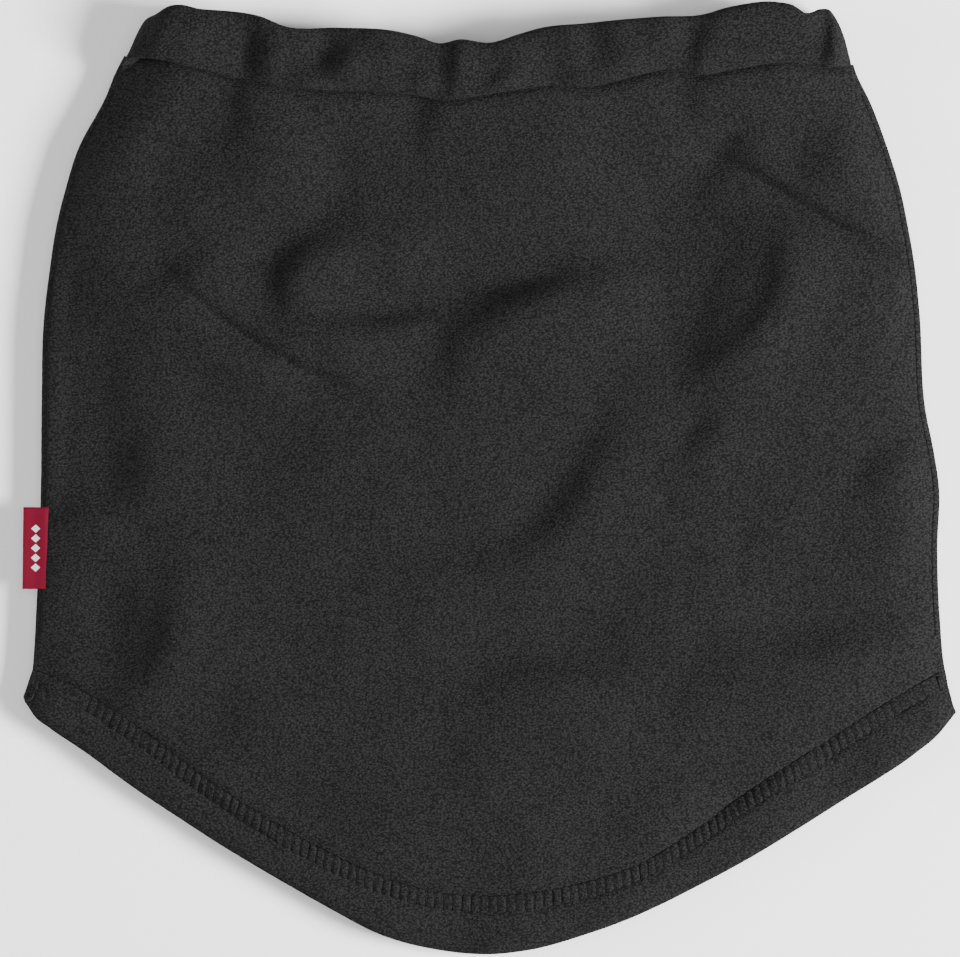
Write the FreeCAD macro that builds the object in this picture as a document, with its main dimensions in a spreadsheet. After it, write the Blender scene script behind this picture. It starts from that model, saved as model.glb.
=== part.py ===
import FreeCAD, Part
import math
import os

import Sketcher

# A fleece neck gaiter that lies flat on its back. X runs across it, Y runs up towards the neck and Z
# rises from the surface it lies on. The origin is under the middle of the gaiter, on that surface.
# Heights along Y are kept in the sheet as distances from the tip of the bib.

SIZES = (
    # alias, value in mm or degrees, what it is
    ("length", 282.7, "tip of the bib to the shoulders of the neck edge"),
    ("cloth", 2.0, "one layer of fleece, its nap included"),
    ("seam_level", 6.5, "height of the side seams above the surface below"),
    ("reach", 170.0, "how far the plan curves run to each side"),
    ("tall", 80.0, "height of the prisms that cut the plan"),
    ("bib_tip", 0.0, "lowest point of the front"),
    ("bib_radius", 105.0, "radius of the tip of the bib"),
    ("bib_slope", 34.5, "rise of the straight edges of the bib"),
    ("back_inset", 3.0, "how much shorter the back is than the bib"),
    ("neck_dip", 270.5, "middle of the neck edge, which sags between the shoulders"),
    ("neck_radius", 390.0, "radius of the neck edge"),
    ("neck_slope", 14.5, "rise of the ends of the neck edge"),
    ("hem_width", 16.0, "depth of the hem turn-ups"),
    ("hem_stitch_inset", 11.0, "hem edge to the near side of the cover stitch"),
    ("hem_stitch_width", 4.8, "width of the cover stitch"),
    ("stitch_depth", 0.6, "how deep a stitch lies in the cloth"),
    ("casing_height", 17.0, "neck edge to the casing seam"),
    ("casing_depth", 19.0, "thickness across both casings"),
    ("casing_wall", 7.0, "thickness of one casing"),
    ("casing_side", 108.5, "half width of the neck edge"),
    ("casing_corner", 14.0, "rounding of the shoulders"),
    ("casing_stitch_width", 1.2, "width of the casing seam"),
    ("elastic_width", 10.0, "width of the elastic band"),
    ("elastic_thick", 1.2, "thickness of the elastic band"),
    ("overlap_length", 14.0, "length sewn over at the ends of the elastic"),
    ("overlap_place", 55.0, "where that overlap starts, right of the middle"),
    ("overlap_thick", 0.8, "thickness added by the overlap"),
    ("side_stitch_width", 4.0, "width of the flat seam along each side"),
    ("side_stitch_start", 94.0, "lower end of the side seams' stitching"),
    ("side_stitch_end", 256.0, "upper end of the side seams' stitching"),
    ("label_low", 108.0, "lower edge of the flag label"),
    ("label_width", 24.4, "width of the flag label along the seam"),
    ("label_thick", 0.8, "thickness of the folded label"),
    ("label_hinge", 134.7, "distance of the label's bend line from the middle"),
    ("label_reach", 139.0, "distance of the label's folded end from the middle"),
    ("tail_outer", 133.95, "where the sewn-in tail comes out of the seam"),
    ("tail_inner", 126.0, "inner end of the sewn-in tail"),
    ("care_low", 150.0, "lower edge of the care label"),
    ("care_width", 25.0, "width of the care label along the seam"),
    ("care_thick", 0.3, "thickness of the care label"),
    ("care_outer", 130.0, "sewn-in edge of the care label"),
    ("care_inner", 98.0, "free end of the care label"),
)

# Cross-sections of the tube: name, height above the tip of the bib, half width, level of the front.
STATIONS = (
    ("bib", -6.0, 139.3, 13.0),
    ("corner", 74.0, 138.6, 13.0),
    ("lower", 110.0, 133.8, 13.0),
    ("middle", 165.0, 131.0, 13.0),
    ("upper", 205.0, 128.4, 13.0),
    ("shoulder", 240.0, 119.2, 14.2),
    ("neck", 271.0, 108.5, 16.5),
)

doc = FreeCAD.newDocument("neck_gaiter")
sheet = doc.addObject("Spreadsheet::Sheet", "Sizes")


def fill_sheet():
    """Write every driving dimension as a plain number with an alias."""
    rows = list(SIZES)
    for name, height, side, level in STATIONS:
        rows.append((name + "_height", height, name + " section, above the tip of the bib"))
        rows.append((name + "_side", side, name + " section, half width"))
        rows.append((name + "_level", level, name + " section, level of the front's outer face"))
    for row, (alias, value, note) in enumerate(rows, 1):
        sheet.set(f"A{row}", alias)
        sheet.set(f"B{row}", str(value))
        sheet.set(f"C{row}", note)
        sheet.setAlias(f"B{row}", alias)
    doc.recompute()


def along(alias):
    """The Y coordinate of a height that the sheet keeps as a distance from the tip of the bib."""
    return f"(Sizes.{alias} - Sizes.length / 2)"


def number(expression):
    return float(sheet.evalExpression(expression))


def plane(body, role):
    return next(item for item in body.Origin.OriginFeatures if item.Role == role)


def new_sketch(body, name, role, offset="0"):
    """A sketch on one of its own body's origin planes, moved along the plane's normal."""
    sketch = body.newObject("Sketcher::SketchObject", name)
    sketch.AttachmentSupport = (plane(body, role), "")
    sketch.MapMode = "FlatFace"
    sketch.setExpression(".AttachmentOffset.Base.z", offset)
    return sketch


def drive(sketch, kind, places, name, expression):
    """Add a dimension, name it and bind it to the sheet."""
    value = number(expression)
    if kind == "Angle":
        value = math.radians(value)
    index = sketch.addConstraint(Sketcher.Constraint(kind, *places, value))
    sketch.renameConstraint(index, name)
    sketch.setExpression(f"Constraints.{name}", expression)


def relate(sketch, *constraints):
    for kind, *places in constraints:
        sketch.addConstraint(Sketcher.Constraint(kind, *places))


def arc(x, y, radius, start, end):
    """An arc of a circle in the sketch plane, anticlockwise between two angles in degrees."""
    circle = Part.Circle(FreeCAD.Vector(x, y, 0), FreeCAD.Vector(0, 0, 1), radius)
    return Part.ArcOfCircle(circle, math.radians(start), math.radians(end))


def line(x1, y1, x2, y2):
    return Part.LineSegment(FreeCAD.Vector(x1, y1, 0), FreeCAD.Vector(x2, y2, 0))


# ---- plan shapes ------------------------------------------------------------------------------

START, END, CENTRE = 1, 2, 3
ORIGIN_POINT = (-1, 1)
VERTICAL_AXIS = -2


def add_curve(sketch, tag, middle, radius, slope):
    """An arc about the middle line with a tangent line at each end. Returns the two lines."""
    y, r, angle, reach = number(middle), number(radius), number(slope), number("Sizes.reach")
    bend = math.radians(angle)
    edge_x, edge_y = r * math.sin(bend), y + r * (1 - math.cos(bend))
    end_y = edge_y + (reach - edge_x) * math.tan(bend)
    bow = sketch.addGeometry(arc(0, y + r, r, 270 - angle, 270 + angle))
    right = sketch.addGeometry(line(edge_x, edge_y, reach, end_y))
    left = sketch.addGeometry(line(-edge_x, edge_y, -reach, end_y))
    relate(
        sketch,
        ("PointOnObject", bow, CENTRE, VERTICAL_AXIS),
        ("Tangent", bow, END, right, START),
        ("Tangent", bow, START, left, START),
    )
    drive(sketch, "DistanceY", (*ORIGIN_POINT, bow, CENTRE), tag + "_centre", f"{middle} + {radius}")
    drive(sketch, "Radius", (bow,), tag + "_radius", radius)
    drive(sketch, "Angle", (right,), tag + "_right_slope", slope)
    drive(sketch, "Angle", (left,), tag + "_left_slope", f"180 - {slope}")
    drive(sketch, "DistanceX", (*ORIGIN_POINT, right, END), tag + "_right_end", "Sizes.reach")
    drive(sketch, "DistanceX", (left, END, *ORIGIN_POINT), tag + "_left_end", "Sizes.reach")
    return right, left, end_y


def plan_prism(name, lower, upper):
    """A tall prism whose plan lies between two curves."""
    body = doc.addObject("PartDesign::Body", name + "_plan")
    sketch = new_sketch(body, name + "_outline", "XY_Plane")
    reach = number("Sizes.reach")
    low_right, low_left, low_y = add_curve(sketch, "low", *lower)
    high_right, high_left, high_y = add_curve(sketch, "high", *upper)
    for low, high, x in ((low_right, high_right, reach), (low_left, high_left, -reach)):
        cap = sketch.addGeometry(line(x, low_y, x, high_y))
        relate(sketch, ("Coincident", low, END, cap, START), ("Coincident", cap, END, high, END))
    pad = body.newObject("PartDesign::Pad", name + "_prism")
    pad.Profile = sketch
    pad.SideType = "Symmetric"
    pad.setExpression("Length", "Sizes.tall")
    return body


def parallel(curve, inset):
    """The curve that lies inside another one by a fixed distance."""
    middle, radius, slope = curve
    return (f"({middle} + {inset})", f"({radius} - {inset})", slope)


BIB = (along("bib_tip"), "Sizes.bib_radius", "Sizes.bib_slope")
NECK = (along("neck_dip"), "Sizes.neck_radius", "Sizes.neck_slope")
SEAM = parallel(NECK, "-Sizes.casing_height")
BACK = parallel(BIB, "Sizes.back_inset")


# ---- cross-sections ---------------------------------------------------------------------------


def half_ring(body, name, station, front, outer, inner):
    """One half of the tube's wall at a station, between two insets from its outer face."""
    height = f"-1 * {along(station + '_height')}"
    sketch = new_sketch(body, name, "XZ_Plane", height)
    rise = f"(Sizes.{station}_level - Sizes.seam_level)" if front else "Sizes.seam_level"
    corner_x = f"(Sizes.{station}_side - {rise})"
    level, x, r = number("Sizes.seam_level"), number(corner_x), number(rise)
    r_out, r_in = r - number(outer), r - number(inner)
    up = 1 if front else -1
    spans = ((90, 180), (0, 90)) if front else ((180, 270), (270, 360))
    flat, side = (START, END) if front else (END, START)
    out_left = sketch.addGeometry(arc(-x, level, r_out, *spans[0]))
    out_flat = sketch.addGeometry(line(-x, level + up * r_out, x, level + up * r_out))
    out_right = sketch.addGeometry(arc(x, level, r_out, *spans[1]))
    foot_right = sketch.addGeometry(line(x + r_out, level, x + r_in, level))
    in_right = sketch.addGeometry(arc(x, level, r_in, *spans[1]))
    in_flat = sketch.addGeometry(line(x, level + up * r_in, -x, level + up * r_in))
    in_left = sketch.addGeometry(arc(-x, level, r_in, *spans[0]))
    foot_left = sketch.addGeometry(line(-x - r_in, level, -x - r_out, level))
    relate(
        sketch,
        ("Tangent", out_left, flat, out_flat, START),
        ("Tangent", out_flat, END, out_right, side),
        ("Coincident", out_right, flat, foot_right, START),
        ("Coincident", foot_right, END, in_right, flat),
        ("Tangent", in_right, side, in_flat, START),
        ("Tangent", in_flat, END, in_left, flat),
        ("Coincident", in_left, side, foot_left, START),
        ("Coincident", foot_left, END, out_left, side),
        ("Coincident", out_left, CENTRE, in_left, CENTRE),
        ("Coincident", out_right, CENTRE, in_right, CENTRE),
        ("Horizontal", out_flat),
        ("Horizontal", in_flat),
        ("Horizontal", foot_left),
        ("Horizontal", foot_right),
        ("Horizontal", out_left, side, out_left, CENTRE),
        ("Horizontal", out_right, flat, out_right, CENTRE),
    )
    for tag, bow in (("left", out_left), ("right", out_right)):
        drive(sketch, "DistanceY", (*ORIGIN_POINT, bow, CENTRE), tag + "_level", "Sizes.seam_level")
    drive(sketch, "DistanceX", (*ORIGIN_POINT, out_right, CENTRE), "right_place", corner_x)
    drive(sketch, "DistanceX", (out_left, CENTRE, *ORIGIN_POINT), "left_place", corner_x)
    drive(sketch, "Radius", (out_left,), "outer_radius", f"{rise} - {outer}")
    drive(sketch, "Radius", (in_left,), "inner_radius", f"{rise} - {inner}")
    return sketch


def half_tube(name, front, outer, inner):
    """A layer of the tube's wall, lofted through every station. The outline is cut later."""
    body = doc.addObject("PartDesign::Body", name)
    rings = [
        half_ring(body, f"{name}_at_{station[0]}", station[0], front, outer, inner) for station in STATIONS
    ]
    loft = body.newObject("PartDesign::AdditiveLoft", name + "_loft")
    loft.Profile = rings[0]
    loft.Sections = rings[1:]
    return body


def stadium(sketch, tag, inset):
    """The outline of the casings' ring, seen along Y, at an inset from its outer face."""
    half = "Sizes.casing_depth / 2"
    corner = f"(Sizes.casing_side - {half})"
    x, level = number(corner), number(half)
    r = level - number(inset)
    right = sketch.addGeometry(arc(x, level, r, 270, 450))
    top = sketch.addGeometry(line(x, level + r, -x, level + r))
    left = sketch.addGeometry(arc(-x, level, r, 90, 270))
    base = sketch.addGeometry(line(-x, level - r, x, level - r))
    relate(
        sketch,
        ("Tangent", right, END, top, START),
        ("Tangent", top, END, left, START),
        ("Tangent", left, END, base, START),
        ("Tangent", base, END, right, START),
    )
    for side, bow in (("left", left), ("right", right)):
        drive(sketch, "DistanceY", (*ORIGIN_POINT, bow, CENTRE), f"{tag}_{side}_level", half)
        drive(sketch, "Radius", (bow,), f"{tag}_{side}_radius", f"{half} - {inset}")
    drive(sketch, "DistanceX", (*ORIGIN_POINT, right, CENTRE), tag + "_right_place", corner)
    drive(sketch, "DistanceX", (left, CENTRE, *ORIGIN_POINT), tag + "_left_place", corner)


def ring_prism(name, outer, inner):
    """A long flat ring along Y between two insets from the casings' outer face."""
    body = doc.addObject("PartDesign::Body", name + "_ring")
    sketch = new_sketch(body, name + "_ring_outline", "XZ_Plane")
    stadium(sketch, "outer", outer)
    stadium(sketch, "inner", inner)
    pad = body.newObject("PartDesign::Pad", name + "_ring_prism")
    pad.Profile = sketch
    pad.SideType = "Symmetric"
    pad.setExpression("Length", "2 * Sizes.length")
    return body


# ---- booleans and boxes -----------------------------------------------------------------------


def common(name, *shapes):
    item = doc.addObject("Part::MultiCommon", name)
    item.Shapes = list(shapes)
    return item


def fuse(name, *shapes):
    item = doc.addObject("Part::MultiFuse", name)
    item.Shapes = list(shapes)
    return item


def cut(name, base, tool):
    item = doc.addObject("Part::Cut", name)
    item.Base = base
    item.Tool = tool
    return item


def box(name, x, y, z, dx, dy, dz):
    """A box from its low corner and sides, each an expression."""
    item = doc.addObject("Part::Box", name)
    for axis, place in (("x", x), ("y", y), ("z", z)):
        item.setExpression(f"Placement.Base.{axis}", place)
    for side, size in (("Length", dx), ("Width", dy), ("Height", dz)):
        item.setExpression(side, size)
    return item


# ---- the pieces -------------------------------------------------------------------------------


def make_casings():
    """The tunnel round the neck edge, as a front and a back half that meet at the side seams."""
    plan = plan_prism("casing", SEAM, NECK)
    outer = common("casing_blank", ring_prism("casing", "0", "Sizes.casing_wall"), plan, shoulders())
    tunnel_ring = ring_prism("tunnel", "Sizes.cloth", "(Sizes.casing_wall - Sizes.cloth)")
    tunnel_plan = plan_prism("tunnel", parallel(SEAM, "Sizes.cloth"), parallel(NECK, "-Sizes.cloth"))
    tube = cut("casing_tube", outer, common("tunnel", tunnel_ring, tunnel_plan))
    whole = ("-Sizes.reach", "-Sizes.length")
    spread = ("2 * Sizes.reach", "2 * Sizes.length", "Sizes.casing_depth / 2")
    upper = box("upper_half", *whole, "Sizes.casing_depth / 2", *spread)
    lower = box("lower_half", *whole, "0", *spread)
    return common("front_casing", tube, upper), common("back_casing", tube, lower)


def shoulders():
    """A plain block with rounded vertical corners, which rounds the ends of the neck edge."""
    body = doc.addObject("PartDesign::Body", "shoulder_block")
    sketch = new_sketch(body, "shoulder_outline", "XY_Plane")
    half, top, corner = "Sizes.casing_side", along("length"), "Sizes.casing_corner"
    x, y, r = number(half), number(top), number(corner)
    left = sketch.addGeometry(line(-x, 0, -x, y - r))
    left_arc = sketch.addGeometry(arc(-x + r, y - r, r, 90, 180))
    roof = sketch.addGeometry(line(-x + r, y, x - r, y))
    right_arc = sketch.addGeometry(arc(x - r, y - r, r, 0, 90))
    right = sketch.addGeometry(line(x, y - r, x, 0))
    base = sketch.addGeometry(line(x, 0, -x, 0))
    relate(
        sketch,
        ("Tangent", left, END, left_arc, END),
        ("Tangent", left_arc, START, roof, START),
        ("Tangent", roof, END, right_arc, END),
        ("Tangent", right_arc, START, right, START),
        ("Coincident", right, END, base, START),
        ("Coincident", base, END, left, START),
        ("Vertical", left),
        ("Vertical", right),
        ("Horizontal", roof),
        ("Horizontal", base),
    )
    drive(sketch, "DistanceX", (*ORIGIN_POINT, right, END), "right_side", half)
    drive(sketch, "DistanceX", (left, START, *ORIGIN_POINT), "left_side", half)
    drive(sketch, "DistanceY", (*ORIGIN_POINT, roof, START), "top", top)
    drive(sketch, "DistanceY", (*ORIGIN_POINT, base, START), "bottom", "0")
    drive(sketch, "Radius", (left_arc,), "left_corner", corner)
    drive(sketch, "Radius", (right_arc,), "right_corner", corner)
    pad = body.newObject("PartDesign::Pad", "shoulder_prism")
    pad.Profile = sketch
    pad.SideType = "Symmetric"
    pad.setExpression("Length", "Sizes.tall")
    return body


def make_elastic():
    """A flat band that runs round the whole tunnel, with its two ends sewn over each other."""
    middle = "Sizes.casing_wall / 2"
    outer_face = f"({middle} - Sizes.elastic_thick / 2)"
    inner_face = f"({middle} + Sizes.elastic_thick / 2)"
    slack = "(Sizes.casing_height - Sizes.elastic_width) / 2"
    plan = plan_prism("elastic", parallel(SEAM, slack), parallel(NECK, f"-1 * {slack}"))
    band = common("elastic_band", ring_prism("elastic", outer_face, inner_face), plan)
    end = box(
        "overlap_block",
        "Sizes.overlap_place",
        "0",
        inner_face,
        "Sizes.overlap_length",
        "Sizes.length",
        "Sizes.overlap_thick",
    )
    return band, common("elastic_overlap", end, plan)


def make_label():
    """The flag label: a flap with a rounded fold, and a tail caught in the left side seam."""
    body = doc.addObject("PartDesign::Body", "flag_label")
    sketch = new_sketch(body, "flag_label_profile", "XZ_Plane", f"-1 * {along('label_low')}")
    radius = "Sizes.label_thick / 2"
    level = f"(Sizes.seam_level + {radius})"
    fold = f"(Sizes.label_reach - {radius})"
    x1, x2, z, r = number("Sizes.label_hinge"), number(fold), number(level), number(radius)
    bend = sketch.addGeometry(arc(-x1, z, r, 270, 450))
    top = sketch.addGeometry(line(-x1, z + r, -x2, z + r))
    tip = sketch.addGeometry(arc(-x2, z, r, 90, 270))
    base = sketch.addGeometry(line(-x2, z - r, -x1, z - r))
    relate(
        sketch,
        ("Tangent", bend, END, top, START),
        ("Tangent", top, END, tip, START),
        ("Tangent", tip, END, base, START),
        ("Tangent", base, END, bend, START),
    )
    for tag, bow, place in (("bend", bend, "Sizes.label_hinge"), ("tip", tip, fold)):
        drive(sketch, "DistanceX", (bow, CENTRE, *ORIGIN_POINT), tag + "_place", place)
        drive(sketch, "DistanceY", (*ORIGIN_POINT, bow, CENTRE), tag + "_level", level)
        drive(sketch, "Radius", (bow,), tag + "_radius", radius)
    pad = body.newObject("PartDesign::Pad", "flag_label_flap")
    pad.Profile = sketch
    pad.Reversed = True
    pad.setExpression("Length", "Sizes.label_width")
    tail = box(
        "flag_label_tail",
        "-Sizes.tail_outer",
        along("label_low"),
        "Sizes.seam_level",
        "Sizes.tail_outer - Sizes.tail_inner",
        "Sizes.label_width",
        "Sizes.label_thick",
    )
    return body, tail


def make_care_label():
    """A blank label inside the tube, caught in the left side seam."""
    return box(
        "care_label",
        "-Sizes.care_outer",
        along("care_low"),
        "Sizes.seam_level",
        "Sizes.care_outer - Sizes.care_inner",
        "Sizes.care_width",
        "Sizes.care_thick",
    )


def hem_stitch(curve):
    """The two edges of the cover stitch along a hem."""
    far = "(Sizes.hem_stitch_inset + Sizes.hem_stitch_width)"
    return parallel(curve, "Sizes.hem_stitch_inset"), parallel(curve, far)


def make_side_stitching(skins, tail):
    """The flat seams that join the panels along both sides."""
    start, end = along("side_stitch_start"), along("side_stitch_end")
    low = "Sizes.seam_level - Sizes.side_stitch_width / 2"
    made = []
    for name, x in (("left", "-Sizes.reach"), ("right", "Sizes.reach - 60")):
        block = box(name + "_seam_block", x, start, low, "60", f"{end} - {start}", "Sizes.side_stitch_width")
        made.append(common(name + "_seam_strip", skins, block))
    left = cut("left_side_seam_stitching", made[0], tail)
    made[1].Label = "right_side_seam_stitching"
    return [left, made[1]]


def make_half(side, hem_curve, skin, caught):
    """One panel with its hem turn-up, hem stitching and casing stitching."""
    front = side == "front"
    wall = half_tube(side + "_wall", front, "0", "Sizes.cloth")
    fold = half_tube(side + "_fold", front, "Sizes.cloth", "2 * Sizes.cloth")
    blank = common(side + "_blank", wall, plan_prism(side, hem_curve, SEAM))
    inner_edge = parallel(hem_curve, "Sizes.hem_width")
    hem = common(side + "_hem", fold, plan_prism(side + "_hem", hem_curve, inner_edge))
    hem_plan = plan_prism(side + "_hem_stitch", *hem_stitch(hem_curve))
    hem_thread = common(side + "_hem_stitching", skin, hem_plan)
    casing_plan = plan_prism(side + "_casing_stitch", parallel(SEAM, "-Sizes.casing_stitch_width"), SEAM)
    casing_thread = common(side + "_casing_stitching", skin, casing_plan)
    tools = fuse(side + "_tools", hem_thread, casing_thread, *caught)
    return cut(side + "_panel", blank, tools), hem, hem_thread, casing_thread


def build():
    """Make every piece, in an order that lets each use the ones it is cut by."""
    skins = {
        side: half_tube(side + "_skin", side == "front", "0", "Sizes.stitch_depth")
        for side in ("front", "back")
    }
    flap, tail = make_label()
    care = make_care_label()
    side_threads = make_side_stitching(fuse("skins", skins["front"], skins["back"]), tail)
    caught = (*side_threads, tail, care)
    pieces = [flap, tail, care, *side_threads]
    pieces += make_half("front", BIB, skins["front"], caught)
    pieces += make_half("back", BACK, skins["back"], side_threads)
    pieces += make_casings()
    pieces += make_elastic()
    return pieces


def check(pieces):
    """Stop before anything is written if the document or a piece has failed."""
    for item in doc.Objects:
        if "Invalid" in item.State or "Error" in item.State:
            raise RuntimeError(f"{item.Label} failed: {item.State}")
    for item in pieces:
        if item.Shape.isNull() or not item.Shape.isValid() or not item.Shape.Solids:
            raise RuntimeError(f"{item.Label} has no valid solid")


fill_sheet()
PIECES = build()
doc.recompute()
check(PIECES)
os.makedirs("parts", exist_ok=True)
for piece in PIECES:
    piece.Shape.exportStep(f"parts/{piece.Label}.step")
    size = piece.Shape.BoundBox
    print(f"{piece.Label}: {len(piece.Shape.Solids)} solid, {piece.Shape.Volume:.0f} mm3, "
          f"{size.XLength:.1f} x {size.YLength:.1f} x {size.ZLength:.1f} mm")
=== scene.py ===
import math

import bpy
import numpy as np
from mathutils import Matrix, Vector


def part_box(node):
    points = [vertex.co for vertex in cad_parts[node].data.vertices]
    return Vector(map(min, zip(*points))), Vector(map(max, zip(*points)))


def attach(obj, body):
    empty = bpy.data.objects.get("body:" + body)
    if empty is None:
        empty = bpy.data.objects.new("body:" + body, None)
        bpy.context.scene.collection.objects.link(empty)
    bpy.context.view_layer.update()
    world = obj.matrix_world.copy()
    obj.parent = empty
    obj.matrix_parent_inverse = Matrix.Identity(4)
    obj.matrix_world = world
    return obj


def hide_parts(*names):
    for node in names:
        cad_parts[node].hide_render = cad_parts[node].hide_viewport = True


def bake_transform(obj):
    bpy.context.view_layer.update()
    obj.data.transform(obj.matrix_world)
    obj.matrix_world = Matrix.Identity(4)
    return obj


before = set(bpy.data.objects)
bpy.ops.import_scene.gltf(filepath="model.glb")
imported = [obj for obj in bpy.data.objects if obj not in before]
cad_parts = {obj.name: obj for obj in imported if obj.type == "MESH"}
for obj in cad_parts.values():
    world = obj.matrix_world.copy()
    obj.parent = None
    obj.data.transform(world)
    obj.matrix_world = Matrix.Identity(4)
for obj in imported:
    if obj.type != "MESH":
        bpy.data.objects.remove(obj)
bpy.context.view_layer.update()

MM = 0.001

# A fleece neck gaiter that lies flat, with its front up: two panels, their hems, one gathered casing
# with its elastic, the stitching and two labels.
# Lengths below are millimetres in the CAD's frame: X across, Y towards the neck, Z up.
# A place in the plan is (s, h): s from the middle line, to the right, and h above the tip of the bib.


def box_mm(node):
    """A CAD node's lowest and highest corners in millimetres."""
    low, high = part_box(node)
    return np.array(low) / MM, np.array(high) / MM


_, TIP_Y, SEAM_LEVEL = box_mm("front_panel")[0]
RING_LOW, RING_HIGH = box_mm("back_casing")[0], box_mm("front_casing")[1]
FRONT_FACE = box_mm("front_hem")[1][2] + 2.0

# the cloth: its thickness, and the middle of each layer where it lies flat
CLOTH = 1.9
HALF = CLOTH / 2
FRONT_LEVEL = FRONT_FACE - HALF - 0.6
GROUND = HALF + 0.35
# how wide the cloth rolls over at a side seam, how far the front droops at its hem and rises at
# the neck, and the groove that the casing seam pulls into it
SIDE_ROLL = 17.0
HEM_DROOP = 3.6
NECK_RISE = 4.0
GROOVE = 1.8
# the hem: the spacing of the cover stitch's rungs, its width and the place of its upper needle
# thread, both from the hem's upper edge, and the radius of the folded edge
STITCH_PITCH = 2.7
BAND = 4.8
FIRST_NEEDLE = 0.2
FOLD_RADIUS = 1.0
# the seeds of the cloth's unevenness count up from this
SEED = 7

# ---- outline of the cloth as it lies ----------------------------------------------------------

LEFT_SIDE = (
    (-137.0, 66), (-136.9, 75), (-135.6, 82), (-133.8, 106), (-132.6, 140), (-132.4, 162),
    (-131.6, 190), (-130.0, 203), (-128.2, 215), (-125.3, 227), (-121.5, 239), (-113.5, 254),
    (-110.2, 262), (-106.6, 269), (-104.4, 274), (-101.5, 279), (-99.5, 282),
)
RIGHT_SIDE = (
    (139.2, 62), (138.8, 73), (136.2, 81), (134.0, 100), (133.3, 121), (133.8, 138),
    (132.2, 149), (129.8, 161), (128.0, 190), (126.7, 203), (124.7, 215), (122.2, 227),
    (118.5, 239), (113.2, 253), (108.9, 262), (107.6, 267), (106.3, 272), (104.0, 277.5), (101.0, 282),
)
HEM_EDGE = (
    (-137.6, 75.0), (-135.0, 70.8), (-130.5, 67.4), (-119.5, 60.0), (-104.5, 49.0), (-65.5, 24.2),
    (-45.8, 12.9), (-33.0, 6.4), (-17.0, 1.6), (-2.0, 0.0), (13.0, 1.4), (30.6, 6.4), (47.3, 12.8),
    (70.5, 24.6), (110.1, 48.6), (127.1, 59.8), (134.0, 65.4), (139.0, 71.6),
)
BACK_EDGE = (
    (-138.0, 75.5), (-131.5, 68.0), (-119.5, 60.8), (-104.5, 50.0), (-65.5, 26.0), (-33.0, 8.6),
    (-2.0, 2.6), (30.6, 8.8), (70.5, 26.4), (110.1, 50.4), (130.0, 64.4), (138.0, 72.6),
)
HEM_STITCH = (
    (-136.0, 81.5), (-129.0, 79.0), (-106.5, 65.4), (-85.5, 49.6), (-56.0, 31.0), (-32.2, 19.8),
    (-17.0, 15.4), (-2.4, 14.0), (21.4, 16.4), (46.0, 23.8), (62.0, 33.4), (78.0, 44.9),
    (101.8, 60.4), (127.0, 76.2), (136.4, 81.4),
)
CASING_SEAM = (
    (-111.5, 267.0), (-104.0, 266.2), (-97.0, 265.3), (-90.5, 263.7), (-79.5, 261.0),
    (-57.5, 257.0), (-46.5, 256.2), (-34.5, 256.0), (-22.5, 254.9), (-13.0, 253.4), (-3.0, 254.6),
    (7.0, 256.2), (18.0, 257.7), (32.0, 257.6), (44.0, 260.6), (54.0, 262.5), (61.5, 260.9),
    (75.0, 262.8), (88.0, 264.6), (98.0, 263.0), (108.0, 264.2),
)
NECK_EDGE = (
    (-106.0, 273.0), (-103.0, 277.0), (-100.0, 278.6), (-97.6, 278.6), (-93.8, 281.4), (-85.5, 280.6),
    (-67.5, 278.3), (-60.5, 275.4), (-45.0, 275.1), (-26.5, 273.8), (-20.5, 272.3), (-14.5, 270.4),
    (-8.5, 271.5), (0.5, 270.5), (9.5, 273.2), (15.5, 274.9), (27.5, 276.2), (51.5, 278.3),
    (63.5, 278.9), (72.0, 281.2), (86.5, 282.6), (91.0, 281.6), (94.2, 279.4), (98.0, 281.0),
    (102.0, 279.4), (106.0, 273.0),
)


def smooth(points):
    """A smooth function through points sorted by their first value."""
    x, y = np.array(points, float).T
    slope = np.gradient(y, x)

    def value(at):
        at = np.clip(at, x[0], x[-1])
        i = np.clip(np.searchsorted(x, at, side="right") - 1, 0, len(x) - 2)
        step = x[i + 1] - x[i]
        t = (at - x[i]) / step
        from_left = y[i] * (1 + 2 * t) + slope[i] * step * t
        from_right = y[i + 1] * (3 - 2 * t) - slope[i + 1] * step * (1 - t)
        return from_left * (1 - t) ** 2 + from_right * t**2

    return value


left_of = smooth([(h, s) for s, h in LEFT_SIDE])
right_of = smooth([(h, s) for s, h in RIGHT_SIDE])
seam_h, neck_h = smooth(CASING_SEAM), smooth(NECK_EDGE)


def ramp(x, low, high):
    """0 at low, 1 at high and smooth between them."""
    t = np.clip((x - low) / (high - low), 0, 1)
    return t * t * (3 - 2 * t)


def hill(x, width):
    """1 at 0, and falling away smoothly on both sides."""
    return np.exp(-((x / width) ** 2))


def waves(x, y, wavelength, seed, count=16):
    """Smooth unevenness of about unit size and one wavelength: a sum of plane waves."""
    rng = np.random.default_rng(seed)
    total = np.zeros(np.broadcast(x, y).shape)
    for _ in range(count):
        angle, phase = rng.uniform(0, 2 * math.pi, 2)
        k = 2 * math.pi / (wavelength * rng.uniform(0.7, 1.5))
        total += np.sin(k * (x * math.cos(angle) + y * math.sin(angle)) + phase)
    return total * math.sqrt(2 / count)


# ---- folds ------------------------------------------------------------------------------------

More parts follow.
